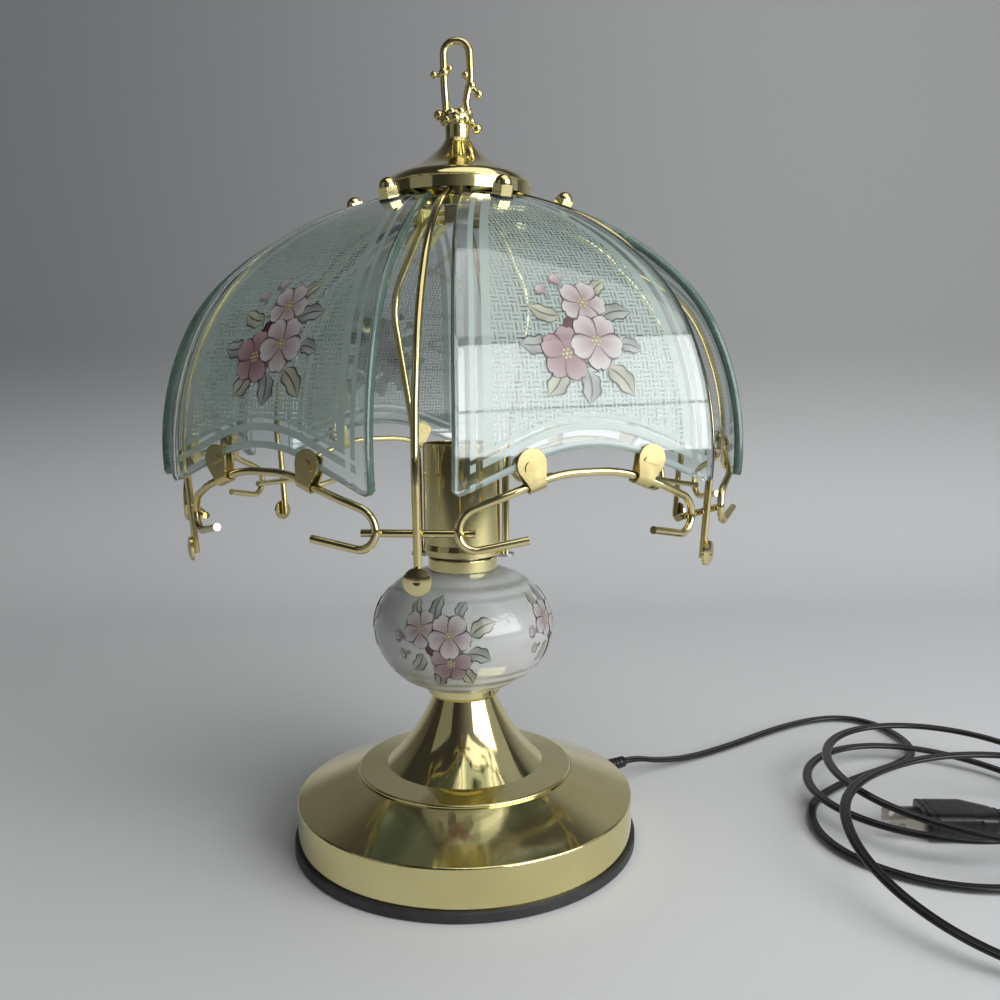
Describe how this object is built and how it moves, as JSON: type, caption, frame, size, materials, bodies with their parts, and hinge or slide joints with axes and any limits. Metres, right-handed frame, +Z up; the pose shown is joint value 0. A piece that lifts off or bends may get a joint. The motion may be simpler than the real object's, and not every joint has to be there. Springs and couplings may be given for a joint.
{
  "type": "table lamp",
  "caption": "Brass table lamp with a ceramic ball stem, a domed shade of bent glass panels hung between wire ribs and scroll wires, a harp, a cast loop finial and a mains cord.",
  "frame": {"origin": "centre of the base on the table top", "axes": "+Z up along the stem, -Y towards the front rib of the shade, the harp in the XZ plane"},
  "size_m": [0.4148, 0.2868, 0.3495],
  "materials": {
    "brass_plate": "polished",
    "zinc_steel": "satin",
    "panel_glass": "frosted with clear weave",
    "edge_rubber": "matte",
    "ballast_iron": "raw",
    "module_plastic": "matte",
    "black_plastic": "satin",
    "ivory_ceramic": "glossy glaze",
    "sleeve_card": "matte",
    "socket_plastic": "satin",
    "contact_brass": "bright",
    "black_cord": "satin"
  },
  "bodies": {
    "lamp": {"base_drum": "brass_plate", "base_bell": "brass_plate", "lower_collar": "brass_plate", "upper_cup": "brass_plate", "socket_cover": "brass_plate", "harp": "brass_plate", "harp_saddle": "zinc_steel", "harp_stud": "zinc_steel", "lamp_pipe": "zinc_steel", "pipe_nut": "zinc_steel", "pipe_washer": "zinc_steel", "bottom_cover": "zinc_steel", "base_ring": "edge_rubber", "base_weight": "ballast_iron", "touch_module": "module_plastic", "cord_bushing": "black_plastic", "ceramic_ball": "ivory_ceramic", "insulating_sleeve": "sleeve_card", "socket_base": "socket_plastic", "socket_shell": "contact_brass", "centre_contact": "contact_brass", "power_cord": "black_cord", "cord_coil": "black_cord", "cord_tail": "black_cord", "plug_body": "black_plastic", "plug_blades": "contact_brass"},
    "shade": {"glass_panel_1": "panel_glass", "glass_panel_2": "panel_glass", "glass_panel_3": "panel_glass", "glass_panel_4": "panel_glass", "glass_panel_5": "panel_glass", "glass_panel_6": "panel_glass", "rib_1": "brass_plate", "rib_2": "brass_plate", "rib_3": "brass_plate", "rib_4": "brass_plate", "rib_5": "brass_plate", "rib_6": "brass_plate", "scroll_wire_1": "brass_plate", "scroll_wire_2": "brass_plate", "scroll_wire_3": "brass_plate", "scroll_wire_4": "brass_plate", "scroll_wire_5": "brass_plate", "scroll_wire_6": "brass_plate", "shade_hub": "brass_plate", "glass_screws": "zinc_steel", "glass_washers": "edge_rubber", "acorn_nuts": "brass_plate", "rib_discs": "brass_plate", "cross_rods": "brass_plate", "glass_clips": "brass_plate", "cap": "brass_plate"},
    "finial": {"finial": "brass_plate"}
  },
  "joints": [
    {"name": "shade_turn", "type": "hinge", "parent": "lamp", "child": "shade", "pos_m": [0, 0, 0.2813], "axis": [0, 0, 1], "continuous": true},
    {"name": "finial_turn", "type": "hinge", "parent": "lamp", "child": "finial", "pos_m": [0, 0, 0.3064], "axis": [0, 0, 1], "continuous": true}
  ]
}
